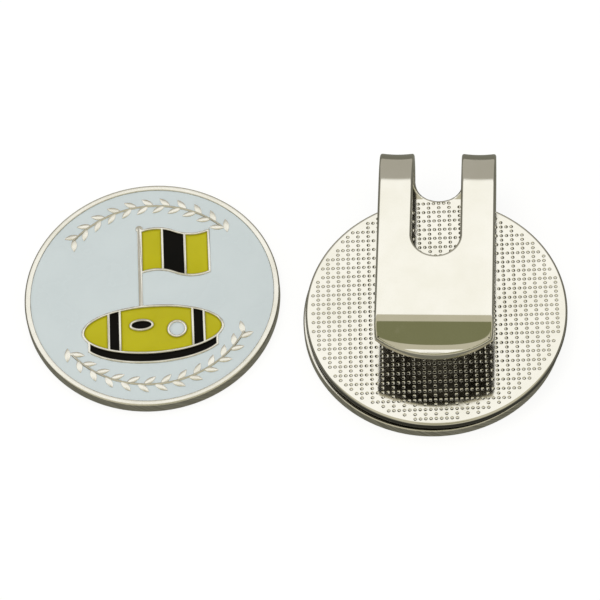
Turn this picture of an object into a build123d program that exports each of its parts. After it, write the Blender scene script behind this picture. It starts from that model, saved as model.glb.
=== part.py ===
from build123d import *
import os
from math import cos, sin, radians, tan

# A golf ball marker and its magnetic hat clip, laid out side by side on a table.
# The marker lies face up on the left. The clip lies on its front face, so its
# dimpled back and its folded tongue point up. Everything is in millimetres.

# Marker: a struck blank with a raised rim, raised lines and pockets of enamel
marker_d = 25.0
marker_t = 1.3
rim_w = 0.6
recess_depth = 0.38            # from the raised metal down to the pocket floors
enamel_drop = 0.10             # the enamel sits this far below the raised metal
line_w = 0.24                  # raised line round every enamel cell
marker_turn = 4.8              # the design is turned a little on the table
wreath_r = 10.1                # middle of the leaf ornaments
leaf_l, leaf_w = 1.55, 0.55
flag_start, flag_end = -0.85, 5.6
stem_w = 0.2

# Clip: one folded sheet, with a magnet cup soldered under its round plate
plate_d = 25.3
sheet_t = 0.85
cup_d, cup_t = 25.2, 1.1
cup_shift = (-0.3, -0.1)       # the cup is soldered slightly off centre
boss_d, boss_t = 23.6, 0.28
solder_d, solder_t = 23.0, 0.07
magnet_d, magnet_t = 12.0, 0.8
pocket_clearance = 0.1
glue_t = 0.08
tongue_w = 11.3
slot_w = 4.65
slot_end_y = 2.24              # round end of the slot, on the tongue
slot_root_y = 12.47            # its other end, at the rim of the plate
slot_root_l = 1.9
plate_z = cup_t + boss_t + solder_t
mid_z = plate_z + sheet_t / 2

# Fold and tongue, as the middle line of the sheet in the YZ plane
fold_back_y = 15.6
fold_split_z = plate_z + 3.3
tongue_top_z = plate_z + 7.5
split_gap = 0.02
lower_fold_r, upper_fold_r = 2.87, 3.75
crease_y, crease_r = -4.55, 1.6
pinch_y, pinch_r = -6.85, 1.2
slope_deg, flare_deg = 33.0, 13.0
tip_y = -8.2
tip_round_r, tip_corner_r = 9.5, 2.2

# Layout: the whole set is centred on the origin
marker_from_clip = (-27.8, 2.2)
clip_x = -(marker_from_clip[0] - marker_d / 2 + plate_d / 2) / 2
clip_y = -(fold_back_y + cup_shift[1] - cup_d / 2) / 2
clip_at = Pos(clip_x, clip_y, 0)
marker_at = Pos(clip_x + marker_from_clip[0], clip_y + marker_from_clip[1], 0) * Rot(0, 0, marker_turn)


def disc(diameter, z, thickness):
    """A flat round piece that starts at height z."""
    return Pos(0, 0, z) * extrude(Circle(diameter / 2), thickness)


# ---- the marker's design, as flat shapes ----

def flag_strip(x0, x1, margin=0.0):
    """The waving flag between two distances along its length, grown by a margin."""
    top, bottom, middle_x, half_l, wave = 6.9, 2.4, 2.3, 3.9, 0.45

    def edge(y):
        rise = ThreePointArc((middle_x - half_l, y - 0.1), (middle_x - half_l / 2, y + wave), (middle_x, y))
        fall = ThreePointArc((middle_x, y), (middle_x + half_l / 2, y - wave), (middle_x + half_l, y + 0.1))
        return rise, fall

    upper, lower = edge(top + margin), edge(bottom - margin)
    ends = [Line(upper[0] @ 0, lower[0] @ 0), Line(upper[1] @ 1, lower[1] @ 1)]
    strip = Pos((x0 + x1) / 2, 4) * Rectangle(x1 - x0 + 2 * margin, 12)
    return make_face([*upper, *lower, *ends]) & strip


def flag_cells():
    """The flag: two yellow ends with a black band between them."""
    joint_1, joint_2 = 1.15, 3.35
    half = line_w / 2
    return {
        "enamel_flag_hoist": flag_strip(flag_start, joint_1 - half),
        "enamel_flag_band": flag_strip(joint_1 + half, joint_2 - half),
        "enamel_flag_fly": flag_strip(joint_2 + half, flag_end),
    }


def green_cells():
    """The putting green: a mown oval with two dark stripes, its shaded lip, the hole and a ball."""
    centre_y = -4.0
    oval = Pos(0, centre_y) * Ellipse(6.7, 2.5)
    dropped = Pos(0, centre_y - 0.95) * Ellipse(6.7, 2.6)
    lip = dropped - Pos(0, centre_y) * Ellipse(6.7 + line_w, 2.5 + line_w)
    lip = lip & (Pos(0, centre_y - 3) * Rectangle(12.2, 6))
    hole = Pos(-1.1, centre_y + 0.55) * Ellipse(0.95, 0.42)
    ball = Pos(2.35, centre_y - 0.1) * Circle(0.72)
    islands = (Pos(-1.1, centre_y + 0.55) * Ellipse(0.95 + line_w, 0.42 + line_w)
               + Pos(2.35, centre_y - 0.1) * Circle(0.72 + line_w))
    cells = {"enamel_hole": hole, "enamel_ball": ball, "enamel_green_lip": lip}
    cuts = [-7.0, -4.3, -3.2, 3.9, 5.0, 7.0]
    names = ["green_left", "stripe_left", "green_middle", "stripe_right", "green_right"]
    for name, x0, x1 in zip(names, cuts, cuts[1:]):
        strip = Pos((x0 + x1) / 2, centre_y) * Rectangle(x1 - x0 - line_w, 8)
        cells["enamel_" + name] = (oval & strip) - islands
    return cells


def emblem_outline():
    """The metal area of the emblem: every cell with its line, and the flag pole."""
    centre_y = -4.0
    flag = flag_strip(flag_start, flag_end, line_w)
    green = Pos(0, centre_y) * Ellipse(6.7 + line_w, 2.5 + line_w)
    lip = (Pos(0, centre_y - 0.95) * Ellipse(6.7 + line_w, 2.6 + line_w)) & (
        Pos(0, centre_y - 3) * Rectangle(12.2 + 2 * line_w, 6))
    pole = Pos(-1.1, 2.0) * Rectangle(0.4, 10.9)
    knob = Pos(-1.1, 7.5) * Circle(0.36)
    return flag + green + lip + pole + knob


def leaf(angle, side):
    """One pointed leaf beside the stem of the wreath, at an angle round the marker."""
    bow_r = (leaf_l ** 2 / 4 + leaf_w ** 2 / 4) / leaf_w
    lens = (Pos(0, bow_r - leaf_w / 2) * Circle(bow_r)) & (Pos(0, leaf_w / 2 - bow_r) * Circle(bow_r))
    tilt = 38 * side
    return Rot(0, 0, angle) * Pos(wreath_r + 0.36 * side, 0) * Rot(0, 0, 90 - tilt) * lens


def wreath():
    """Two leafy branches that follow the rim, one above and one below the emblem."""
    shapes = []
    for start, end, count in [(41, 144, 11), (214, 336, 13)]:
        step = (end - start) / count
        stem_end = step * 0.5
        stem = make_face([
            CenterArc((0, 0), wreath_r + stem_w / 2, start + stem_end, end - start - 2 * stem_end),
            CenterArc((0, 0), wreath_r - stem_w / 2, start + stem_end, end - start - 2 * stem_end),
            Line(polar(start + stem_end, -1), polar(start + stem_end, 1)),
            Line(polar(end - stem_end, -1), polar(end - stem_end, 1)),
        ])
        shapes.append(stem)
        for index in range(count):
            angle = start + step * (index + 0.5)
            shapes.append(leaf(angle - 1.6, 1))
            shapes.append(leaf(angle + 1.6, -1))
    return shapes


def polar(angle, side):
    """A point on one edge of the wreath's stem."""
    r = wreath_r + side * stem_w / 2
    return (r * cos(radians(angle)), r * sin(radians(angle)))


def field_around(shapes, z, height):
    """The pocket inside the rim, with the emblem and the wreath left standing in it."""
    field = disc(marker_d - 2 * rim_w, z, height)
    for shape in shapes:
        field -= Pos(0, 0, z) * extrude(shape, height)
    return field


def make_marker():
    """The struck blank, the white field and one fill for each coloured cell."""
    floor_z = marker_t - recess_depth
    fill_t = recess_depth - enamel_drop
    at_floor = Pos(0, 0, floor_z)
    cells = {**flag_cells(), **green_cells()}
    shapes = [emblem_outline(), *wreath()]
    blank = chamfer(disc(marker_d, 0, marker_t).edges(), 0.12) - field_around(shapes, floor_z, recess_depth)
    pieces = {"enamel_field": field_around(shapes, floor_z, fill_t)}
    for name, cell in cells.items():
        blank -= at_floor * extrude(cell, recess_depth)
        pieces[name] = at_floor * extrude(cell, fill_t)
    pieces["marker_blank"] = blank
    return {name: marker_at * piece for name, piece in pieces.items()}


# ---- the clip ----

def shifted(points, distance):
    """The corners of a path moved sideways by a distance, to the left of its direction."""
    vectors = [Vector(*p) for p in points]
    out = []
    for index, point in enumerate(vectors):
        before = (point - vectors[index - 1]).normalized() if index else None
        after = (vectors[index + 1] - point).normalized() if index + 1 < len(vectors) else None
        first, last = before or after, after or before
        half = (first + last).normalized()
        left = Vector(-half.Y, half.X)
        reach = distance / half.dot(first)
        out.append(tuple(point + left * reach)[:2])
    return out


def sheet_strip(points, radii, turns):
    """A bent strip of the sheet: its middle line, its bend radii and which way each bend turns."""
    left = FilletPolyline(*shifted(points, sheet_t / 2),
                          radius=[r - s * sheet_t / 2 for r, s in zip(radii, turns)])
    right = FilletPolyline(*shifted(points, -sheet_t / 2),
                           radius=[r + s * sheet_t / 2 for r, s in zip(radii, turns)])
    ends = [Line(left @ 1, right @ 1), Line(left @ 0, right @ 0)]
    section = Plane.YZ * make_face([*left.edges(), *right.edges(), *ends])
    return extrude(section, tongue_w / 2, both=True)


def slot_cutter():
    """The long round-ended slot between the two legs, seen from above."""
    width = slot_w / 2
    round_y = slot_end_y + width
    tongue_part = Pos(0, round_y) * Circle(width) + Pos(0, round_y + 8) * Rectangle(slot_w, 16)
    return Pos(0, 0, fold_split_z) * extrude(tongue_part, 20)


def root_cutter():
    """The slot's other end, where the legs leave the plate."""
    root_y = slot_root_y + slot_root_l
    plate_part = Pos(0, root_y) * Ellipse(slot_w / 2, slot_root_l) + Pos(0, root_y + 5) * Rectangle(slot_w, 10)
    return extrude(plate_part, fold_split_z + 1)


def make_plate():
    """The round plate with its two legs, up to the back of the fold."""
    back_y = fold_back_y - sheet_t / 2
    plate = fillet(disc(plate_d, plate_z, sheet_t).edges(), 0.3)
    legs = sheet_strip([(9.5, mid_z), (back_y, mid_z), (back_y, fold_split_z)], [lower_fold_r], [1])
    return plate + legs - root_cutter()


def make_tongue():
    """The upper half of the fold, the flat tongue, its crease and its flared lip."""
    back_y, top = fold_back_y - sheet_t / 2, tongue_top_z - sheet_t / 2
    pinch_z = top - (crease_y - pinch_y) * tan(radians(slope_deg))
    end_z = pinch_z + (pinch_y - tip_y + 1) * tan(radians(flare_deg))
    path = [(back_y, fold_split_z + split_gap), (back_y, top), (crease_y, top), (pinch_y, pinch_z),
            (tip_y - 1, end_z)]
    strip = sheet_strip(path, [upper_fold_r, crease_r, pinch_r], [1, 1, -1])
    width = tongue_w / 2
    outline = (Pos(0, tip_y + tip_round_r) * Circle(tip_round_r) & Pos(0, -6) * Rectangle(tongue_w, 12)) + (
        Pos(0, 6) * Rectangle(tongue_w, 24))
    corners = [v for v in outline.vertices() if v.Y < -5 and abs(abs(v.X) - width) < 0.01]
    outline = fillet(corners, tip_corner_r)
    return (strip & extrude(outline, 20)) - slot_cutter()


def make_clip():
    """The folded sheet in its two halves, with the cup, magnet, glue and solder beneath it."""
    cup_at = Pos(cup_shift[0], cup_shift[1], 0)
    pocket_d = magnet_d + 2 * pocket_clearance
    pocket_t = magnet_t + glue_t
    cup = chamfer(disc(cup_d, 0, cup_t).edges(), 0.12) + disc(boss_d, cup_t, boss_t)
    cup -= disc(pocket_d, 0, pocket_t)
    pieces = {
        "clip_plate": make_plate(),
        "clip_tongue": make_tongue(),
        "magnet_cup": cup_at * cup,
        "magnet": cup_at * chamfer(disc(magnet_d, 0, magnet_t).edges(), 0.1),
        "magnet_glue": cup_at * disc(magnet_d, magnet_t, glue_t),
        "solder_film": cup_at * disc(solder_d, cup_t + boss_t, solder_t),
    }
    return {name: clip_at * piece for name, piece in pieces.items()}


os.makedirs("parts", exist_ok=True)
for node, shape in {**make_marker(), **make_clip()}.items():
    export_step(shape, "parts/" + node + ".step")
print("clip centre", round(clip_x, 3), round(clip_y, 3))
print("marker centre", round(clip_x + marker_from_clip[0], 3), round(clip_y + marker_from_clip[1], 3))
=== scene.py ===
import bpy, math
from mathutils import Matrix, Vector


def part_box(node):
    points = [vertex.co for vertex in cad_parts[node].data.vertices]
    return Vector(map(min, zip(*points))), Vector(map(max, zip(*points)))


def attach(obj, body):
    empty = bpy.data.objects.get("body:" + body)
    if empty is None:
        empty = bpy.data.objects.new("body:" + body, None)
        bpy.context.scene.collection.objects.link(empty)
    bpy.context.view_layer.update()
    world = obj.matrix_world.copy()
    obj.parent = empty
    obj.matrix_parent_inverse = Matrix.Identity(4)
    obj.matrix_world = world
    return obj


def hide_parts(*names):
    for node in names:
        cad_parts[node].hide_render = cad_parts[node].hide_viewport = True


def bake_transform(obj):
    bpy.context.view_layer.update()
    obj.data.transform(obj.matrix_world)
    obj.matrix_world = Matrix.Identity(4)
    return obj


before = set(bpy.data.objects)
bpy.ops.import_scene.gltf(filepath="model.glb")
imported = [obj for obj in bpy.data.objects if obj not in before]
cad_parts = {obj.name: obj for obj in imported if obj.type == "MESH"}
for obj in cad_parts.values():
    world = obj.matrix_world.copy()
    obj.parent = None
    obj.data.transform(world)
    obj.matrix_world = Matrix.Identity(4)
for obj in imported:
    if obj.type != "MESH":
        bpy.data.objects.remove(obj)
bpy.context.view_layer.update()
mm = 0.001  # a millimetre, in metres
print("frame loaded:", len(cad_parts), "nodes")

markerLow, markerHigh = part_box("marker_blank")
sheetLow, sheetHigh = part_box("clip_plate")
cupLow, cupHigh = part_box("magnet_cup")
markerAt = (markerLow + markerHigh) / 2
cupAt = (cupLow + cupHigh) / 2

shot = {  # millimetres and degrees, round the point that the camera looks at
    "lens": 210.0, "target": (0.44, 0.886, 0.0), "elevation": 59.41, "swing": 7.4, "roll": -5.97,
    "distance": 341.9, "clipStart": 0.01, "clipEnd": 20,
}


def placeCamera():
    turn = (Matrix.Rotation(math.radians(shot["swing"]), 4, "Z")
            @ Matrix.Rotation(math.radians(90 - shot["elevation"]), 4, "X")
            @ Matrix.Rotation(math.radians(shot["roll"]), 4, "Z"))
    bpy.ops.object.camera_add()
    camera = bpy.context.object
    camera.matrix_world = (Matrix.Translation(Vector(shot["target"]) * mm) @ turn
                           @ Matrix.Translation((0, 0, shot["distance"] * mm)))
    camera.data.lens = shot["lens"]
    camera.data.clip_start, camera.data.clip_end = shot["clipStart"], shot["clipEnd"]
    bpy.context.scene.camera = camera


placeCamera()


def looseSelection():  # object mode, with nothing selected
    if bpy.context.mode != "OBJECT":
        bpy.ops.object.mode_set(mode="OBJECT")
    bpy.ops.object.select_all(action="DESELECT")


def work(piece):  # the only piece selected, and the active one
    looseSelection()
    piece.select_set(True)
    bpy.context.view_layer.objects.active = piece


def pick(piece, kind, test):  # kind is VERT, EDGE or FACE; test gets a vertex, an edge or a polygon
    if bpy.context.mode != "OBJECT":
        bpy.ops.object.mode_set(mode="OBJECT")
    work(piece)
    mesh = piece.data
    parts = {"VERT": mesh.vertices, "EDGE": mesh.edges, "FACE": mesh.polygons}
    for part in parts.values():
        part.foreach_set("select", [False] * len(part))
    parts[kind].foreach_set("select", [bool(test(item)) for item in parts[kind]])
    bpy.ops.object.mode_set(mode="EDIT")
    bpy.ops.mesh.select_mode(type=kind)


def pickAll(piece):
    work(piece)
    bpy.ops.object.mode_set(mode="EDIT")
    bpy.ops.mesh.select_mode(type="VERT")
    bpy.ops.mesh.select_all(action="SELECT")


def pickSharp(piece, degrees, test):  # sharp edges whose two ends both pass the test
    work(piece)
    bpy.ops.object.mode_set(mode="EDIT")
    bpy.ops.mesh.select_mode(type="EDGE")
    bpy.ops.mesh.select_all(action="DESELECT")
    bpy.ops.mesh.edges_select_sharp(sharpness=math.radians(degrees))
    bpy.ops.object.mode_set(mode="OBJECT")
    ends = piece.data.vertices
    sharp = {e.index for e in piece.data.edges if e.select and all(test(ends[i].co) for i in e.vertices)}
    pick(piece, "EDGE", lambda e: e.index in sharp)


def roundEdges(width, segments):
    bpy.ops.mesh.bevel(offset=width * mm, segments=segments, profile=0.5, affect="EDGES", clamp_overlap=False)


def done(piece, angle=30):  # place goes into the mesh, and the shading is smooth except at real edges
    work(piece)
    bpy.ops.object.transform_apply(location=True, rotation=True, scale=True)
    bpy.ops.object.shade_smooth_by_angle(angle=math.radians(angle))
    return piece


def divide(place, facing):  # cuts the picked faces along a plane through the place
    bpy.ops.mesh.bisect(plane_co=place, plane_no=facing, threshold=0.0002 * mm)


def dissolveFlat():  # joins the picked faces that lie in one plane
    bpy.ops.mesh.select_mode(type="FACE")
    bpy.ops.mesh.select_all(action="SELECT")
    bpy.ops.mesh.dissolve_limited(angle_limit=math.radians(0.4))


def settle(piece, threshold=0.0005):  # merges points nearer than this, in millimetres
    pickAll(piece)
    bpy.ops.mesh.remove_doubles(threshold=threshold * mm)
    bpy.ops.mesh.normals_make_consistent(inside=False)
    bpy.ops.object.mode_set(mode="OBJECT")


def addDisc(name, centre, radius, low, high, sides=192):
    looseSelection()
    bpy.ops.mesh.primitive_cylinder_add(vertices=sides, radius=radius * mm, depth=(high - low) * mm,
                                        location=(centre[0], centre[1], (low + high) / 2 * mm))
    disc = bpy.context.object
    disc.name = disc.data.name = name
    bpy.ops.object.transform_apply(location=True, rotation=True, scale=True)
    return disc


def cut(piece, tool, operation="DIFFERENCE", solver="EXACT"):
    work(piece)
    boolean = piece.modifiers.new("cut", "BOOLEAN")
    boolean.operation, boolean.object, boolean.solver = operation, tool, solver
    bpy.ops.object.modifier_apply(modifier=boolean.name)
    bpy.data.objects.remove(tool)


def join(pieces, name):
    looseSelection()
    for piece in pieces:
        piece.select_set(True)
    bpy.context.view_layer.objects.active = pieces[0]
    bpy.ops.object.join()
    pieces[0].name = pieces[0].data.name = name
    return pieces[0]


def copyOf(node, name):  # a CAD node's mesh as a new piece, with its loose triangles merged
    piece = bpy.data.objects.new(name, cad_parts[node].data.copy())
    piece.data.name = name
    bpy.context.scene.collection.objects.link(piece)
    piece.data.materials.clear()
    if piece.data.has_custom_normals:
        work(piece)
        bpy.ops.mesh.customdata_custom_splitnormals_clear()
    pickAll(piece)
    bpy.ops.mesh.remove_doubles(threshold=0.0005 * mm)
    dissolveFlat()
    bpy.ops.object.mode_set(mode="OBJECT")
    return piece


springSheet = {
    "plateRadius": 12.65, "thickness": 0.85, "bottom": 1.45, "plateSides": 210,
    "width": 11.3, "legStart": 9.0, "tipRadius": 9.5, "tipCorner": 1.12, "tipZone": 3, "tipStretch": 30,
    "slotWidth": 4.65, "slotRoot": 14.61, "slotRootReach": 2.14, "slotEnd": 29.462, "slotSides": 90,
    "cutterSpare": 1, "shortestSide": 0.03, "edgeRound": 0.24, "edgeSupport": 0.05,
    "legRows": (2.9, 3.45, 3.99, 4.5, 5.1), "legMiddle": 3.99, "legHalf": 1.66, "legSag": 0.13,
    "foldMiddle": (11.9, 4.76), "foldToLip": 15,
}
bends = {  # straight run before it, radius of the middle of the sheet, turn in degrees, facets
    "lowerFold": (12.305, 2.87, 90.0, 14), "upperFold": (0.03, 3.443, 66.0, 12),
    "easing": (0.0, 7.0, 24.0, 8), "crease": (14.5, 1.6, 33.0, 8),
}
lip = {
    "run": 3.27, "dishHalf": 5.3, "dishDepth": 1.69, "squareness": 2.5, "curlRadius": 1.85, "steepest": 50,
    "sideRise": 0.8, "grid": 0.2, "linesAcross": 28, "linesAlong": 18,
}
plateAt = Vector(((sheetLow.x + sheetHigh.x) / 2, sheetLow.y + springSheet["plateRadius"] * mm, 0))


def bendStations():  # each crossing line on the flat sheet, with its share of the turn
    stations, along = [], 0.0
    for run, radius, turn, facets in bends.values():
        along += run
        step = radius * math.radians(abs(turn)) / facets
        for index in range(facets + 1):
            share = 0.5 if index in (0, facets) else 1.0
            stations.append((along + step * index, math.radians(turn) / facets * share))
        along += step * facets
    return stations, along + lip["run"]


def makeFlatTongue(length):  # both legs and the tongue, with a round tip
    s = springSheet
    low, high = s["bottom"], s["bottom"] + s["thickness"]
    looseSelection()
    middle = (0, (s["legStart"] + length) / 2 * mm, (low + high) / 2 * mm)
    bpy.ops.mesh.primitive_cube_add(size=1, location=middle)
    tongue = bpy.context.object
    tongue.scale = (s["width"] * mm, (length - s["legStart"]) * mm, (high - low) * mm)
    bpy.ops.object.transform_apply(location=True, rotation=True, scale=True)
    tipMiddle = (length - s["tipRadius"]) * mm
    tip = addDisc("tip", (0, tipMiddle), s["tipRadius"], low - s["cutterSpare"], high + s["cutterSpare"])
    pick(tip, "VERT", lambda v: v.co.y < tipMiddle)
    bpy.ops.transform.translate(value=(0, -s["tipStretch"] * mm, 0))
    bpy.ops.object.mode_set(mode="OBJECT")
    cut(tongue, tip, "INTERSECT")
    half, tipStart = s["width"] / 2 * mm, (length - s["tipZone"]) * mm
    pickSharp(tongue, 30, lambda co: abs(abs(co.x) - half) < 0.01 * mm and co.y > tipStart)
    bpy.ops.object.mode_set(mode="OBJECT")
    heights = [v.co.z for v in tongue.data.vertices]
    upright = {e.index for e in tongue.data.edges
               if e.select and abs(heights[e.vertices[0]] - heights[e.vertices[1]]) > s["thickness"] / 2 * mm}
    pick(tongue, "EDGE", lambda e: e.index in upright)
    roundEdges(s["tipCorner"], 8)
    bpy.ops.object.mode_set(mode="OBJECT")
    return tongue


def makeSlotCutter():  # a disc drawn out from the root between the legs to the slot's round end
    s = springSheet
    low, high = s["bottom"], s["bottom"] + s["thickness"]
    slot = addDisc("slot", (0, 0), s["slotWidth"] / 2, low - s["cutterSpare"], high + s["cutterSpare"],
                   s["slotSides"])
    work(slot)
    slot.rotation_euler.z = math.radians(180 / s["slotSides"])  # half a side, so no corner is at y 0
    bpy.ops.object.transform_apply(location=True, rotation=True, scale=True)
    pick(slot, "VERT", lambda v: v.co.y < 0)
    bpy.ops.transform.resize(value=(1, s["slotRootReach"] / (s["slotWidth"] / 2), 1), center_override=(0, 0, 0))
    bpy.ops.transform.translate(value=(0, s["slotRoot"] * mm, 0))
    pick(slot, "VERT", lambda v: 0 < v.co.y < s["slotWidth"] * mm)
    bpy.ops.transform.translate(value=(0, s["slotEnd"] * mm, 0))
    bpy.ops.object.mode_set(mode="OBJECT")
    return slot


def makeFlatSheet(length):
    s = springSheet
    low, high = s["bottom"], s["bottom"] + s["thickness"]
    sheet = addDisc("springSheet", (0, 0), s["plateRadius"], low, high, s["plateSides"])
    cut(sheet, makeFlatTongue(length), "UNION")
    cut(sheet, makeSlotCutter())
    settle(sheet, s["shortestSide"])
    pickAll(sheet)
    dissolveFlat()
    pickAll(sheet)
    divide((0, 0, 0), (1, 0, 0))
    bpy.ops.mesh.select_mode(type="EDGE")
    bpy.ops.mesh.select_all(action="DESELECT")
    bpy.ops.mesh.edges_select_sharp(sharpness=math.radians(1))
    bpy.ops.object.mode_set(mode="OBJECT")
    ends = sheet.data.vertices
    spare = {e.index for e in sheet.data.edges
             if not e.select and any(abs(ends[i].co.x) > 0.001 * mm for i in e.vertices)}
    pick(sheet, "EDGE", lambda e: e.index in spare)
    bpy.ops.mesh.dissolve_edges(use_verts=False)  # each flat side is now two halves that meet on the centre line
    bpy.ops.object.mode_set(mode="OBJECT")
    return sheet


def roundSheetEdges(sheet):
    s = springSheet
    pickSharp(sheet, 72, lambda co: True)
    roundEdges(s["edgeRound"], 4)
    for side in (1, -1):
        pick(sheet, "FACE", lambda f: f.normal.z * side > 0.999)
        bpy.ops.mesh.inset(thickness=s["edgeSupport"] * mm, depth=0)
    bpy.ops.object.mode_set(mode="OBJECT")


def curlLip(sheet, start, middle):  # the rounded end turns up beyond a shallow dish
    bpy.ops.object.mode_set(mode="OBJECT")
    half, depth, power = lip["dishHalf"] * mm, lip["dishDepth"] * mm, lip["squareness"]
    radius = lip["curlRadius"] * mm
    for v in sheet.data.vertices:
        across, along = abs(v.co.x), v.co.y - start
        if along <= 0:
            continue
        reach = ((across / half) ** power + (along / depth) ** power) ** (1 / power)
        if reach <= 1:
            continue
        slope = Vector(((across / half) ** (power - 1) / half, (along / depth) ** (power - 1) / depth))
        slope *= reach ** (1 - power)
        beyond = (reach - 1) / slope.length
        out = slope.normalized()
        out.x *= 1 if v.co.x >= 0 else -1
        up = middle - v.co.z  # the flat sheet's underside is the tongue's top
        turn = min(beyond / radius, math.radians(lip["steepest"])) * min(1, along / (lip["sideRise"] * mm))
        spare = beyond - turn * radius
        foot = Vector((v.co.x, v.co.y)) - out * beyond
        place = foot + out * ((radius - up) * math.sin(turn) + spare * math.cos(turn))
        v.co = (place.x, place.y, middle - radius + (radius - up) * math.cos(turn) - spare * math.sin(turn))


def divideSheet(sheet, stations, foldStart, foldEnd):  # the lines that the fold and the lip need
    for along, turn in stations:
        pickAll(sheet)
        divide((0, along * mm, 0), (0, 1, 0))
    for across in springSheet["legRows"]:
        for side in (-1, 1):
            pick(sheet, "FACE", lambda f: foldStart - 0.1 * mm < f.center.y < foldEnd + 0.1 * mm)
            divide((across * side * mm, 0, 0), (1, 0, 0))
    lipStart = stations[-1][0] * mm
    for index in range(-lip["linesAcross"], lip["linesAcross"] + 1):
        pick(sheet, "FACE", lambda f: f.center.y > lipStart)
        divide((index * lip["grid"] * mm, 0, 0), (1, 0, 0))
    for index in range(1, lip["linesAlong"] + 1):
        pick(sheet, "FACE", lambda f: f.center.y > lipStart)
        divide((0, lipStart + index * lip["grid"] * mm, 0), (0, 1, 0))


def hollowLegs(sheet, shares, across):  # a bent leg is slightly hollow across its width
    s = springSheet
    foldMiddle = Vector((0, s["foldMiddle"][0] * mm, s["foldMiddle"][1] * mm))
    for v, share, reach in zip(sheet.data.vertices, shares, across):
        hollow = 1 - ((reach - s["legMiddle"] * mm) / (s["legHalf"] * mm)) ** 2
        if 0 < share < 1 and hollow > 0:
            inward = foldMiddle - Vector((0, v.co.y, v.co.z))
            v.co += inward.normalized() * s["legSag"] * mm * hollow * math.sin(math.pi * share) ** 2


def foldSheet(sheet, stations):
    middle = (springSheet["bottom"] + springSheet["thickness"] / 2) * mm
    foldStart, foldEnd = stations[0][0] * mm, (stations[-1][0] - springSheet["foldToLip"]) * mm
    divideSheet(sheet, stations, foldStart, foldEnd)
    curlLip(sheet, stations[-1][0] * mm, middle)
    flat = [v.co.y for v in sheet.data.vertices]
    across = [abs(v.co.x) for v in sheet.data.vertices]
    for along, turn in reversed(stations):
        line = along * mm
        for share, test in ((1.0, lambda v: flat[v.index] > line + 0.001 * mm),
                            (0.5, lambda v: abs(flat[v.index] - line) <= 0.001 * mm)):
            pick(sheet, "VERT", test)
            bpy.ops.transform.rotate(value=-turn * share, orient_axis="X", center_override=(0, line, middle))
    bpy.ops.object.mode_set(mode="OBJECT")
    hollowLegs(sheet, [(y - foldStart) / (foldEnd - foldStart) for y in flat], across)
    print("spring sheet folded, top at", round(max(v.co.z for v in sheet.data.vertices) / mm, 3), "mm")


dimples = {
    "pitch": 0.5, "radius": 0.235, "rise": 0.12, "above": 0.072, "turn": 3.0, "origin": (0.0, 12.1),
    "reach": 12.05, "rootReach": 12.25, "sides": 12, "rings": 8,
    "places": 60, "firstAcross": -30, "firstAlong": -50,
    "grids": ((0.0, 2, 1), (1.0, 2, 2)),  # first place across, step across and step along, in pitches
}


def makeDimplePunch():  # every second place in every second row stays flat
    d = dimples
    top = springSheet["bottom"] + springSheet["thickness"] + d["above"]
    grids = []
    for startX, stepX, stepY in d["grids"]:
        looseSelection()
        bpy.ops.mesh.primitive_uv_sphere_add(segments=d["sides"], ring_count=d["rings"],
                                             radius=d["radius"] * mm)
        ball = bpy.context.object
        pickAll(ball)
        bpy.ops.transform.resize(value=(1, 1, d["rise"] / d["radius"]), center_override=(0, 0, 0))
        bpy.ops.object.mode_set(mode="OBJECT")
        for name, axis, step in (("across", 0, stepX), ("along", 1, stepY)):
            array = ball.modifiers.new(name, "ARRAY")
            array.use_relative_offset, array.use_constant_offset = False, True
            offset = [0, 0, 0]
            offset[axis] = step * d["pitch"] * mm
            array.constant_offset_displace = offset
            array.count = int(d["places"] / step)
            bpy.ops.object.modifier_apply(modifier=name)
        pickAll(ball)
        start = ((startX + d["firstAcross"]) * d["pitch"] * mm, d["firstAlong"] * d["pitch"] * mm, 0)
        bpy.ops.transform.translate(value=start)
        bpy.ops.object.mode_set(mode="OBJECT")
        grids.append(ball)
    punch = join(grids, "dimplePunch")
    pickAll(punch)
    bpy.ops.transform.rotate(value=-math.radians(d["turn"]), orient_axis="Z", center_override=(0, 0, 0))
    bpy.ops.transform.translate(value=(d["origin"][0] * mm, d["origin"][1] * mm, top * mm))
    bpy.ops.object.mode_set(mode="OBJECT")
    return punch


def trimPunch(punch):  # whole balls outside the plate's rim are taken away
    mesh, betweenLegs = punch.data, springSheet["slotWidth"] / 2 * mm
    perBall = 2 + dimples["sides"] * (dimples["rings"] - 1)
    outside = []
    for first in range(0, len(mesh.vertices), perBall):
        ball = mesh.vertices[first:first + perBall]
        x, y = sum(v.co.x for v in ball) / perBall, sum(v.co.y for v in ball) / perBall
        reach = dimples["rootReach"] if abs(x) < betweenLegs else dimples["reach"]
        outside.append(math.hypot(x, y) > reach * mm)
    pick(punch, "VERT", lambda v: outside[v.index // perBall])
    bpy.ops.mesh.delete(type="VERT")
    bpy.ops.object.mode_set(mode="OBJECT")
    print("dimples:", outside.count(False))


def makeSpringSheet():
    stations, length = bendStations()
    sheet = makeFlatSheet(length)
    roundSheetEdges(sheet)
    foldSheet(sheet, stations)
    punch = makeDimplePunch()
    trimPunch(punch)
    cut(sheet, punch, "DIFFERENCE", "MANIFOLD")
    pickAll(sheet)
    bpy.ops.transform.translate(value=(plateAt.x, plateAt.y, 0))
    return done(sheet, 25)


sheetPiece = makeSpringSheet()
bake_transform(sheetPiece)
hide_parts("clip_plate", "clip_tongue")

magnetCup = {
    "radius": 12.6, "height": 1.1, "bossRadius": 11.8, "bossHeight": 0.28,
    "pocketRadius": 6.1, "pocketDepth": 0.88, "edgeRound": 0.16, "pocketRound": 0.08,
}


def awayFrom(centre, co):  # distance from an upright axis
    return math.hypot(co.x - centre.x, co.y - centre.y)


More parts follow.
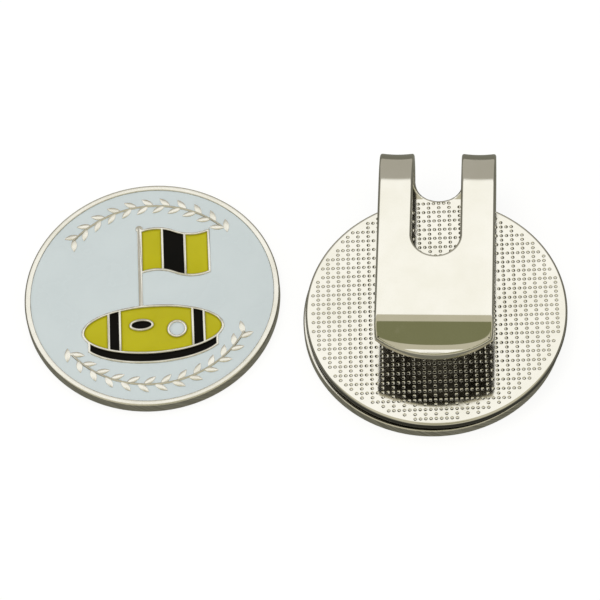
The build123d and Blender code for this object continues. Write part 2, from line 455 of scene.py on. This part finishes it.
def makeMagnetCup():
    m = magnetCup
    cup = addDisc("magnetCup", cupAt, m["radius"], 0, m["height"])
    pick(cup, "FACE", lambda f: f.normal.z > 0.9)
    bpy.ops.mesh.inset(thickness=(m["radius"] - m["bossRadius"]) * mm, depth=0)
    bpy.ops.mesh.extrude_region_move(TRANSFORM_OT_translate={"value": (0, 0, m["bossHeight"] * mm)})
    pick(cup, "FACE", lambda f: f.normal.z < -0.9)
    bpy.ops.mesh.inset(thickness=(m["radius"] - m["pocketRadius"]) * mm, depth=0)
    bpy.ops.mesh.extrude_region_move(TRANSFORM_OT_translate={"value": (0, 0, m["pocketDepth"] * mm)})
    pickSharp(cup, 60, lambda co: awayFrom(cupAt, co) > (m["radius"] - 0.1) * mm)
    roundEdges(m["edgeRound"], 4)
    pickSharp(cup, 60, lambda co: co.z < 0.01 * mm and awayFrom(cupAt, co) < (m["pocketRadius"] + 0.1) * mm)
    roundEdges(m["pocketRound"], 2)
    bpy.ops.object.mode_set(mode="OBJECT")
    return done(cup)


cupPiece = makeMagnetCup()
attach(cupPiece, "clip")
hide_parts("magnet_cup")
print("magnet cup made")

markerBlank = {
    "radius": 12.5, "height": 1.3, "rimWidth": 0.6, "pocket": 0.38, "outerRound": 0.17, "innerRound": 0.06,
}


def makeMarkerBlank():
    m = markerBlank
    blank = addDisc("markerBlank", markerAt, m["radius"], 0, m["height"])
    pick(blank, "FACE", lambda f: f.normal.z > 0.9)
    bpy.ops.mesh.inset(thickness=m["rimWidth"] * mm, depth=0)
    bpy.ops.mesh.extrude_region_move(TRANSFORM_OT_translate={"value": (0, 0, -m["pocket"] * mm)})
    pickSharp(blank, 60, lambda co: awayFrom(markerAt, co) > (m["radius"] - 0.1) * mm)
    roundEdges(m["outerRound"], 5)
    inner = (m["radius"] - m["rimWidth"] + 0.1) * mm
    pickSharp(blank, 60, lambda co: co.z > (m["height"] - 0.05) * mm and awayFrom(markerAt, co) < inner)
    roundEdges(m["innerRound"], 3)
    bpy.ops.object.mode_set(mode="OBJECT")
    return done(blank)


blankPiece = makeMarkerBlank()
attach(blankPiece, "marker")
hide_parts("marker_blank")

emblemLines = {"reach": 9.2, "floor": 0.92, "top": 1.3, "edgeRound": 0.045}


def makeEmblemLines():  # the raised lines, parted from the blank at the floor of its pocket
    e = emblemLines
    lines = copyOf("marker_blank", "emblemLines")
    ends = lines.data.vertices
    pick(lines, "FACE", lambda f: f.center.z < (e["floor"] + 0.02) * mm
         or any(awayFrom(markerAt, ends[i].co) > e["reach"] * mm for i in f.vertices))
    bpy.ops.mesh.delete(type="FACE")
    ends = lines.data.vertices
    pick(lines, "EDGE", lambda edge: all(ends[i].co.z < (e["floor"] + 0.005) * mm for i in edge.vertices))
    bpy.ops.mesh.fill(use_beauty=True)
    bpy.ops.object.mode_set(mode="OBJECT")
    pickSharp(lines, 60, lambda co: co.z > (e["top"] - 0.005) * mm)
    roundEdges(e["edgeRound"], 2)
    bpy.ops.object.mode_set(mode="OBJECT")
    return done(lines)


linesPiece = makeEmblemLines()
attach(linesPiece, "marker")
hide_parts("marker_blank")
print("marker blank and emblem lines made")

wreath = {
    "radius": 10.1, "turn": 4.8, "branches": ((41, 144, 11), (214, 336, 13)),  # start, end, pairs of leaves
    "leafLength": 1.55, "leafWidth": 0.58, "leafTilt": 38, "leafOffset": 0.36, "leafLean": 1.6, "leafSides": 20,
    "low": 0.95, "shoulder": 1.25, "ridge": 0.055, "ridgeCuts": (-0.6, -0.4, -0.2, 0.0, 0.2, 0.4, 0.6),
    "stemRadius": 0.12, "stemHeight": 1.195, "stemSides": 12, "stemSteps": 64,
}


def makeLeaf():
    w = wreath
    half, top, close = w["leafLength"] / 2 * mm, w["shoulder"] * mm, 0.001 * mm
    looseSelection()
    bpy.ops.mesh.primitive_circle_add(vertices=w["leafSides"], radius=half, fill_type="NGON", location=(0, 0, 0))
    leaf = bpy.context.object
    for v in leaf.data.vertices:  # a round outline drawn in to a pointed one
        side = v.co.y / half
        v.co.y = side * abs(side) * w["leafWidth"] / 2 * mm
        v.co.z = w["low"] * mm
    pickAll(leaf)
    bpy.ops.mesh.extrude_region_move(TRANSFORM_OT_translate={"value": (0, 0, (w["shoulder"] - w["low"]) * mm)})
    bpy.ops.object.mode_set(mode="OBJECT")
    for across in w["ridgeCuts"]:
        pick(leaf, "FACE", lambda f: abs(f.center.z - top) < close)
        divide((across * mm, 0, 0), (1, 0, 0))
    pick(leaf, "FACE", lambda f: abs(f.center.z - top) < close)
    divide((0, 0, 0), (0, 1, 0))
    bpy.ops.object.mode_set(mode="OBJECT")
    for v in leaf.data.vertices:  # the midrib stands up along the middle
        if abs(v.co.z - top) < close and abs(v.co.y) < 2 * close:
            v.co.z += w["ridge"] * mm * (1 - (v.co.x / half) ** 2)
    settle(leaf)
    return leaf


def makeStem(start, end):
    w = wreath
    looseSelection()
    first = math.radians(start + w["turn"])
    place = (markerAt.x + w["radius"] * mm * math.cos(first), markerAt.y + w["radius"] * mm * math.sin(first),
             w["stemHeight"] * mm)
    bpy.ops.mesh.primitive_circle_add(vertices=w["stemSides"], radius=w["stemRadius"] * mm, fill_type="NOTHING",
                                      location=place, rotation=(math.radians(90), 0, first))
    stem = bpy.context.object
    bpy.ops.object.transform_apply(location=True, rotation=True, scale=True)
    pickAll(stem)
    bpy.ops.mesh.spin(steps=w["stemSteps"], angle=-math.radians(end - start),
                      center=(markerAt.x, markerAt.y, 0), axis=(0, 0, 1))
    bpy.ops.object.mode_set(mode="OBJECT")
    pickAll(stem)
    bpy.ops.mesh.fill_holes(sides=w["stemSides"])
    bpy.ops.mesh.normals_make_consistent(inside=False)
    bpy.ops.object.mode_set(mode="OBJECT")
    return stem


def makeWreath():
    w = wreath
    leaf = makeLeaf()
    pieces = []
    for start, end, count in w["branches"]:
        step = (end - start) / count
        pieces.append(makeStem(start + step * 0.5, end - step * 0.5))
        for index in range(count):
            angle = start + step * (index + 0.5)
            for side in (1, -1):
                copy = leaf.copy()
                copy.data = leaf.data.copy()
                bpy.context.scene.collection.objects.link(copy)
                along = math.radians(angle - w["leafLean"] * side + w["turn"])
                copy.data.transform(Matrix.Translation((markerAt.x, markerAt.y, 0))
                                    @ Matrix.Rotation(along, 4, "Z")
                                    @ Matrix.Translation(((w["radius"] + w["leafOffset"] * side) * mm, 0, 0))
                                    @ Matrix.Rotation(math.radians(90 - w["leafTilt"] * side), 4, "Z"))
                pieces.append(copy)
    bpy.data.objects.remove(leaf)
    return done(join(pieces, "laurelWreath"), 28)


wreathPiece = makeWreath()
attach(wreathPiece, "marker")
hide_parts("marker_blank")
print("wreath made")

enamelCells = {  # the colour in each cell
    "enamel_flag_hoist": "yellow", "enamel_flag_band": "black", "enamel_flag_fly": "yellow",
    "enamel_green_left": "yellow", "enamel_stripe_left": "black", "enamel_green_middle": "yellow",
    "enamel_stripe_right": "black", "enamel_green_right": "yellow", "enamel_green_lip": "black",
    "enamel_hole": "black", "enamel_ball": "white",
}
pour = {"firstStep": 0.09, "firstDrop": 0.05, "secondStep": 0.11, "secondDrop": 0.02, "middleShade": 0.45}


def pourCell(node):  # the enamel is drawn down a little inside its cell's edges
    cell = copyOf(node, node.replace("enamel_", "poured_"))
    top = max(v.co.z for v in cell.data.vertices)
    edgeAbove, middleAbove = top - 0.01 * mm, top - (pour["firstDrop"] + 0.01) * mm
    pick(cell, "FACE", lambda f: f.normal.z > 0.99)
    bpy.ops.mesh.inset(thickness=pour["firstStep"] * mm, depth=-pour["firstDrop"] * mm)
    bpy.ops.mesh.inset(thickness=pour["secondStep"] * mm, depth=-pour["secondDrop"] * mm)
    bpy.ops.object.mode_set(mode="OBJECT")
    # painted shade: the cell's outer ring is marked fully and its sunk ring partly, and the finish darkens these
    # rings
    edge = cell.data.attributes.new("paintedEdgeShade", "FLOAT", "POINT")
    edge.data.foreach_set("value", [1.0 if v.co.z > edgeAbove else
                                    pour["middleShade"] if v.co.z > middleAbove else 0.0
                                    for v in cell.data.vertices])
    return done(cell, 50)


cellPieces = {}
for node, colour in enamelCells.items():
    cellPieces[node] = pourCell(node)
    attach(cellPieces[node], "marker")
    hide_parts(node)
print("enamel cells poured:", len(cellPieces))


def put(tree, kind, settings=None, **inputs):  # a node, its inputs given by name, or by number as i0, i1
    node = tree.nodes.new(kind)
    for name, value in (settings or {}).items():
        setattr(node, name, value)
    for name, value in inputs.items():
        numbered = name[0] == "i" and name[1:].isdigit()
        socket = node.inputs[int(name[1:])] if numbered else node.inputs[name]
        if isinstance(value, bpy.types.NodeSocket):
            tree.links.new(value, socket)
        else:
            socket.default_value = value
    return node


def maths(tree, operation, *values):
    inputs = {"i" + str(index): value for index, value in enumerate(values)}
    return put(tree, "ShaderNodeMath", {"operation": operation}, **inputs).outputs[0]


def stretched(tree, vector, factors):
    return put(tree, "ShaderNodeVectorMath", {"operation": "MULTIPLY"}, i0=vector, i1=factors).outputs[0]


def turned(tree, vector, angle):
    return put(tree, "ShaderNodeVectorRotate", {"rotation_type": "Z_AXIS"}, Vector=vector, Angle=angle).outputs[0]


def ranged(tree, value, low, high, start=0.0, end=1.0):
    node = put(tree, "ShaderNodeMapRange", None, Value=value)
    for label, number in (("From Min", start), ("From Max", end), ("To Min", low), ("To Max", high)):
        node.inputs[label].default_value = number
    return node.outputs[0]


def newGroup(name, wants, gives):
    tree = bpy.data.node_groups.new(name, "ShaderNodeTree")
    for label, kind, value in wants:
        socket = tree.interface.new_socket(name=label, in_out="INPUT", socket_type=kind)
        if value is not None:
            socket.default_value = value
    for label, kind in gives:
        tree.interface.new_socket(name=label, in_out="OUTPUT", socket_type=kind)
    return tree, tree.nodes.new("NodeGroupInput"), tree.nodes.new("NodeGroupOutput")


marks = {  # each direction of the scratches has its angle in radians and how far it is drawn out
    "directions": ((0.35, 0.05), (1.3, 0.07), (2.4, 0.04)), "thinStart": 0.6, "thinEnd": 0.74, "cloudScale": 260.0,
    "lineStart": 0.38, "lineEnd": 0.62, "wallStart": 0.35, "wallEnd": 0.75,
}


def makeHandlingMarks():  # fine scratches in all directions, and broad cloudy wear
    wants = [("Vector", "NodeSocketVector", None), ("Scale", "NodeSocketFloat", 900.0)]
    gives = [("Scratches", "NodeSocketFloat"), ("Clouds", "NodeSocketFloat")]
    tree, given, out = newGroup("handlingMarks", wants, gives)
    total = None
    for angle, stretch in marks["directions"]:
        drawn = stretched(tree, turned(tree, given.outputs["Vector"], angle), (1.0, stretch, 1.0))
        noise = put(tree, "ShaderNodeTexNoise", None, Vector=drawn, Scale=given.outputs["Scale"], Detail=3.0,
                    Roughness=0.6)
        thin = ranged(tree, noise.outputs["Fac"], 0.0, 1.0, marks["thinStart"], marks["thinEnd"])
        total = thin if total is None else maths(tree, "MAXIMUM", total, thin)
    clouds = put(tree, "ShaderNodeTexNoise", None, Vector=given.outputs["Vector"], Scale=marks["cloudScale"],
                 Detail=4.0, Roughness=0.55)
    tree.links.new(total, out.inputs["Scratches"])
    tree.links.new(clouds.outputs["Fac"], out.inputs["Clouds"])
    return tree


def makeMillLines():  # slanted lines round a wall, from a pattern that is turned as it goes up
    wants = [("Vector", "NodeSocketVector", None), ("Pitch", "NodeSocketFloat", 3200.0),
             ("Lean", "NodeSocketFloat", 95.0)]
    gives = [("Lines", "NodeSocketFloat"), ("Wall", "NodeSocketFloat")]
    tree, given, out = newGroup("millLines", wants, gives)
    parts = put(tree, "ShaderNodeSeparateXYZ", None, Vector=given.outputs["Vector"])
    angle = maths(tree, "MULTIPLY", parts.outputs["Z"], given.outputs["Lean"])
    flat = stretched(tree, turned(tree, given.outputs["Vector"], angle), (1.0, 1.0, 0.0))
    noise = put(tree, "ShaderNodeTexNoise", None, Vector=flat, Scale=given.outputs["Pitch"], Detail=2.0,
                Roughness=0.5)
    lines = ranged(tree, noise.outputs["Fac"], 0.0, 1.0, marks["lineStart"], marks["lineEnd"])
    facing = put(tree, "ShaderNodeSeparateXYZ", None, Vector=put(tree, "ShaderNodeTexCoord").outputs["Normal"])
    upright = maths(tree, "ABSOLUTE", facing.outputs["Z"])
    wall = ranged(tree, upright, 1.0, 0.0, marks["wallStart"], marks["wallEnd"])
    tree.links.new(lines, out.inputs["Lines"])
    tree.links.new(wall, out.inputs["Wall"])
    return tree


handlingMarks, millLines = makeHandlingMarks(), makeMillLines()


def useGroup(tree, group, **inputs):
    node = put(tree, "ShaderNodeGroup", {"node_tree": group})
    for name, value in inputs.items():
        if isinstance(value, bpy.types.NodeSocket):
            tree.links.new(value, node.inputs[name])
        else:
            node.inputs[name].default_value = value
    return node


def newFinish(name, centre=(0, 0, 0)):
    material = bpy.data.materials.new(name)
    material.use_nodes = True
    tree = material.node_tree
    shader = tree.nodes["Principled BSDF"]
    place = put(tree, "ShaderNodeMapping", None, Vector=put(tree, "ShaderNodeTexCoord").outputs["Object"])
    place.inputs["Location"].default_value = (-centre[0], -centre[1], -centre[2])
    return material, tree, shader, place.outputs[0]


def mixColours(tree, share, first, second, kind="MIX"):
    node = put(tree, "ShaderNodeMix", {"data_type": "RGBA", "blend_type": kind})
    for socket, value in ((node.inputs[0], share), (node.inputs[6], first), (node.inputs[7], second)):
        if isinstance(value, bpy.types.NodeSocket):
            tree.links.new(value, socket)
        else:
            socket.default_value = value
    return node.outputs[2]


# the darkest colour here, and the roughness beside it, are painted shade for the sheet's down-facing surfaces and
# rim edge
nickel = {
    "light": (0.73, 0.70, 0.645, 1), "warm": (0.69, 0.66, 0.59, 1), "groove": (0.38, 0.36, 0.30, 1),
    "paintedShade": (0.10, 0.095, 0.085, 1), "scratchRough": 0.06, "scratchDepth": -0.25, "wallRough": 0.12,
    "paintedShadeRough": 0.2, "markScale": 900.0, "millPitch": 3200.0, "millLean": 95.0, "bump": 0.25, "bumpDepth": 0.03,
}
# radii and heights of the plate's rim edge, where painted shade goes
rimShadeRing = {"starts": 12.45, "full": 12.6, "fades": 12.66, "ends": 12.7, "topFades": 2.12, "topEnds": 2.2}


def dullPlaces(tree, place):  # painted shade: surfaces that face down and the plate's rim edge get a dark colour, standing in for the shade and dark reflections they get
    r = rimShadeRing
    normal = put(tree, "ShaderNodeTexCoord").outputs["Normal"]
    facing = put(tree, "ShaderNodeSeparateXYZ", None, Vector=normal).outputs["Z"]
    under = ranged(tree, facing, 1.0, 0.0, -0.35, -0.05)
    parts = put(tree, "ShaderNodeSeparateXYZ", None, Vector=place)
    flat = put(tree, "ShaderNodeCombineXYZ", None, X=parts.outputs["X"], Y=parts.outputs["Y"])
    spread = put(tree, "ShaderNodeVectorMath", {"operation": "LENGTH"}, i0=flat.outputs[0]).outputs["Value"]
    outside = ranged(tree, spread, 0.0, 1.0, r["starts"] * mm, r["full"] * mm)
    inside = ranged(tree, spread, 1.0, 0.0, r["fades"] * mm, r["ends"] * mm)
    below = ranged(tree, parts.outputs["Z"], 1.0, 0.0, r["topFades"] * mm, r["topEnds"] * mm)
    edge = maths(tree, "MULTIPLY", maths(tree, "MULTIPLY", outside, inside), below)
    return maths(tree, "MAXIMUM", under, edge)


def nickelFinish(name, centre, roughLow, roughHigh, lines=0.0, withPaintedShade=False):
    n = nickel
    material, tree, shader, place = newFinish(name, centre)
    worn = useGroup(tree, handlingMarks, Vector=place, Scale=n["markScale"])
    colour = mixColours(tree, ranged(tree, worn.outputs["Clouds"], 0, 1, 0.35, 0.7), n["light"], n["warm"])
    rough = ranged(tree, worn.outputs["Clouds"], roughLow, roughHigh, 0.3, 0.7)
    rough = maths(tree, "MULTIPLY_ADD", worn.outputs["Scratches"], n["scratchRough"], rough)
    height = maths(tree, "MULTIPLY", worn.outputs["Scratches"], n["scratchDepth"])
    if lines:
        mill = useGroup(tree, millLines, Vector=place, Pitch=n["millPitch"], Lean=n["millLean"])
        groove = maths(tree, "MULTIPLY", mill.outputs["Lines"], mill.outputs["Wall"])
        colour = mixColours(tree, maths(tree, "MULTIPLY", groove, lines), colour, n["groove"])
        height = maths(tree, "MULTIPLY_ADD", groove, -1.0, height)
        rough = maths(tree, "MULTIPLY_ADD", mill.outputs["Wall"], n["wallRough"], rough)
    # painted shade: down-facing surfaces and the rim edge are darkened and made rougher
    if withPaintedShade:
        shadeMask = dullPlaces(tree, place)
        colour = mixColours(tree, shadeMask, colour, n["paintedShade"])
        rough = maths(tree, "MULTIPLY_ADD", shadeMask, n["paintedShadeRough"], rough)
    bump = put(tree, "ShaderNodeBump", None, Height=height, Strength=n["bump"], Distance=n["bumpDepth"] * mm)
    tree.links.new(colour, shader.inputs["Base Color"])
    tree.links.new(rough, shader.inputs["Roughness"])
    tree.links.new(bump.outputs[0], shader.inputs["Normal"])
    shader.inputs["Metallic"].default_value = 1.0
    return material


def enamelFinish(name, colour, deep, rough, specular, edge):
    material, tree, shader, place = newFinish(name, markerAt)
    worn = useGroup(tree, handlingMarks, Vector=place, Scale=700.0)
    base = mixColours(tree, ranged(tree, worn.outputs["Clouds"], 0, 1, 0.4, 0.75), colour, deep)
    # painted shade along the cell's edges, from the edge mark written when the cell is poured
    if edge:
        tone = put(tree, "ShaderNodeAttribute", {"attribute_name": "paintedEdgeShade", "attribute_type": "GEOMETRY"})
        shade = tuple(part * 0.35 for part in deep[:3]) + (1,)
        base = mixColours(tree, ranged(tree, tone.outputs["Fac"], 0, edge), base, shade)
    tree.links.new(base, shader.inputs["Base Color"])
    tree.links.new(ranged(tree, worn.outputs["Clouds"], rough, rough + 0.08, 0.3, 0.7), shader.inputs["Roughness"])
    bump = put(tree, "ShaderNodeBump", None, Height=worn.outputs["Clouds"], Strength=0.12, Distance=0.0002)
    tree.links.new(bump.outputs[0], shader.inputs["Normal"])
    shader.inputs["Specular IOR Level"].default_value = specular
    return material


def dullFinish(name, centre, light, dark, roughLow, roughHigh, metallic):
    material, tree, shader, place = newFinish(name, centre)
    worn = useGroup(tree, handlingMarks, Vector=place, Scale=1200.0)
    tree.links.new(mixColours(tree, worn.outputs["Clouds"], light, dark), shader.inputs["Base Color"])
    tree.links.new(ranged(tree, worn.outputs["Clouds"], roughLow, roughHigh), shader.inputs["Roughness"])
    bump = put(tree, "ShaderNodeBump", None, Height=worn.outputs["Clouds"], Strength=0.5, Distance=0.00005)
    tree.links.new(bump.outputs[0], shader.inputs["Normal"])
    shader.inputs["Metallic"].default_value = metallic
    return material


finishes = {
    "sheet": nickelFinish("springNickel", plateAt, 0.05, 0.10, withPaintedShade=True),
    "cup": nickelFinish("cupNickel", cupAt, 0.14, 0.22, 0.75),
    "marker": nickelFinish("struckNickel", markerAt, 0.16, 0.24, 0.6),
    "white": enamelFinish("whiteEnamel", (0.73, 0.81, 0.9, 1), (0.7, 0.78, 0.87, 1), 0.22, 0.2, 0),
    "yellow": enamelFinish("yellowEnamel", (0.6, 0.55, 0.012, 1), (0.54, 0.49, 0.01, 1), 0.2, 0.12, 0.55),
    "black": enamelFinish("blackEnamel", (0.004, 0.003, 0.002, 1), (0.002, 0.002, 0.002, 1), 0.3, 0.06, 0.2),
    "magnet": dullFinish("magnetNickel", cupAt, (0.62, 0.60, 0.56, 1), (0.5, 0.48, 0.44, 1), 0.22, 0.38, 1.0),
    "glue": dullFinish("epoxyGlue", cupAt, (0.32, 0.27, 0.16, 1), (0.24, 0.2, 0.11, 1), 0.3, 0.5, 0.0),
    "solder": dullFinish("softSolder", cupAt, (0.3, 0.3, 0.29, 1), (0.16, 0.16, 0.155, 1), 0.4, 0.6, 1.0),
}


def paint(piece, finish):
    piece.data.materials.clear()
    piece.data.materials.append(finishes[finish])


def paintNode(node, finish):
    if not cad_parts[node].data.materials:
        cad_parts[node].data.materials.append(finishes[finish])
    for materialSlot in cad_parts[node].material_slots:
        materialSlot.material = finishes[finish]


paint(sheetPiece, "sheet")
paint(cupPiece, "cup")
for piece in (blankPiece, linesPiece, wreathPiece):
    paint(piece, "marker")
for node, colour in enamelCells.items():
    paint(cellPieces[node], colour)
cadFinishes = {"enamel_field": "white", "magnet": "magnet", "magnet_glue": "glue", "solder_film": "solder"}
for node, finish in cadFinishes.items():
    paintNode(node, finish)
print("finishes made:", len(finishes))

studio = {  # colours of the surroundings, and where each one starts and is full
    "high": (1.30, 1.32, 1.28, 1), "low": (0.52, 0.51, 0.45, 1), "top": (0.66, 0.64, 0.50, 1),
    "front": (0.24, 0.25, 0.13, 1), "side": (0.2, 0.2, 0.17, 1), "backdrop": (0.93, 0.93, 0.92, 1),
    "highStart": 0.74, "highEnd": 0.8, "frontStart": 0.965, "frontEnd": 0.98, "topStart": 0.62, "topEnd": 0.67,
    "sideStart": 0.35, "sideEnd": 0.6,
    "floorSize": 4, "floorDrop": 0.02, "floor": (0.88, 0.88, 0.88, 1), "floorGlossy": (0.22, 0.22, 0.18, 1),
    "floorGlow": 1.1, "floorGlowShare": 0.8,
}


def makeFloor():
    looseSelection()
    bpy.ops.mesh.primitive_plane_add(size=studio["floorSize"], location=(0, 0, -studio["floorDrop"] * mm))
    floor = bpy.context.object
    floor.name = "floor"
    material = bpy.data.materials.new("paleFloor")
    material.use_nodes = True
    tree = material.node_tree
    tree.nodes.remove(tree.nodes["Principled BSDF"])
    path = put(tree, "ShaderNodeLightPath")
    diffuse = put(tree, "ShaderNodeBsdfDiffuse", None, Color=studio["floor"])
    bright = put(tree, "ShaderNodeEmission", None, Color=(1, 1, 1, 1), Strength=studio["floorGlow"])
    dim = put(tree, "ShaderNodeEmission", None, Color=studio["floorGlossy"], Strength=1.0)
    seen = maths(tree, "MULTIPLY", path.outputs["Is Camera Ray"], studio["floorGlowShare"])
    first = put(tree, "ShaderNodeMixShader", None, i0=seen, i1=diffuse.outputs[0], i2=bright.outputs[0])
    last = put(tree, "ShaderNodeMixShader", None, i0=path.outputs["Is Glossy Ray"], i1=first.outputs[0],
               i2=dim.outputs[0])
    tree.links.new(last.outputs[0], tree.nodes["Material Output"].inputs["Surface"])
    floor.data.materials.append(material)


def makeWorld():
    world = bpy.data.worlds.new("studio")
    bpy.context.scene.world = world
    world.use_nodes = True
    tree = world.node_tree
    direction = put(tree, "ShaderNodeTexCoord").outputs["Generated"]
    swing, elevation = math.radians(shot["swing"]), math.radians(shot["elevation"])
    forward = Vector((math.sin(swing) * math.cos(elevation), -math.cos(swing) * math.cos(elevation),
                      math.sin(elevation)))
    sideways = Vector((math.cos(swing), math.sin(swing), 0))

    def towards(axis):
        node = put(tree, "ShaderNodeVectorMath", {"operation": "DOT_PRODUCT"}, i0=direction, i1=axis)
        return node.outputs["Value"]

    def soft(value, start, end):
        node = put(tree, "ShaderNodeMapRange", {"interpolation_type": "SMOOTHSTEP"}, Value=value)
        node.inputs["From Min"].default_value, node.inputs["From Max"].default_value = start, end
        return node.outputs[0]

    up, near = put(tree, "ShaderNodeSeparateXYZ", None, Vector=direction).outputs["Z"], towards(forward)
    aside = maths(tree, "ABSOLUTE", towards(sideways))
    sky = studio["low"]
    for name, value in (("side", aside), ("high", up), ("top", near), ("front", near)):
        sky = mixColours(tree, soft(value, studio[name + "Start"], studio[name + "End"]), sky, studio[name])
    seen = put(tree, "ShaderNodeLightPath").outputs["Is Camera Ray"]
    tree.links.new(mixColours(tree, seen, sky, studio["backdrop"]), tree.nodes["Background"].inputs["Color"])


softLights = {  # place in millimetres, width in millimetres, power in watts
    "overhead": ((-60, 60, 420), 320, 0.35),
    "left": ((-380, -120, 260), 240, 0.2),
    "right": ((380, -60, 260), 240, 0.14),
}


def makeLights():
    for name, (place, width, power) in softLights.items():
        bpy.ops.object.light_add(type="AREA", location=Vector(place) * mm)
        light = bpy.context.object
        light.name = name
        light.data.shape, light.data.size, light.data.energy = "DISK", width * mm, power
        light.rotation_euler = (-Vector(place)).to_track_quat("-Z", "Y").to_euler()
        light.visible_glossy = False


makeFloor()
makeWorld()
makeLights()
bpy.context.scene.view_settings.view_transform = "Standard"
print("studio made")

bpy.context.view_layer.update()
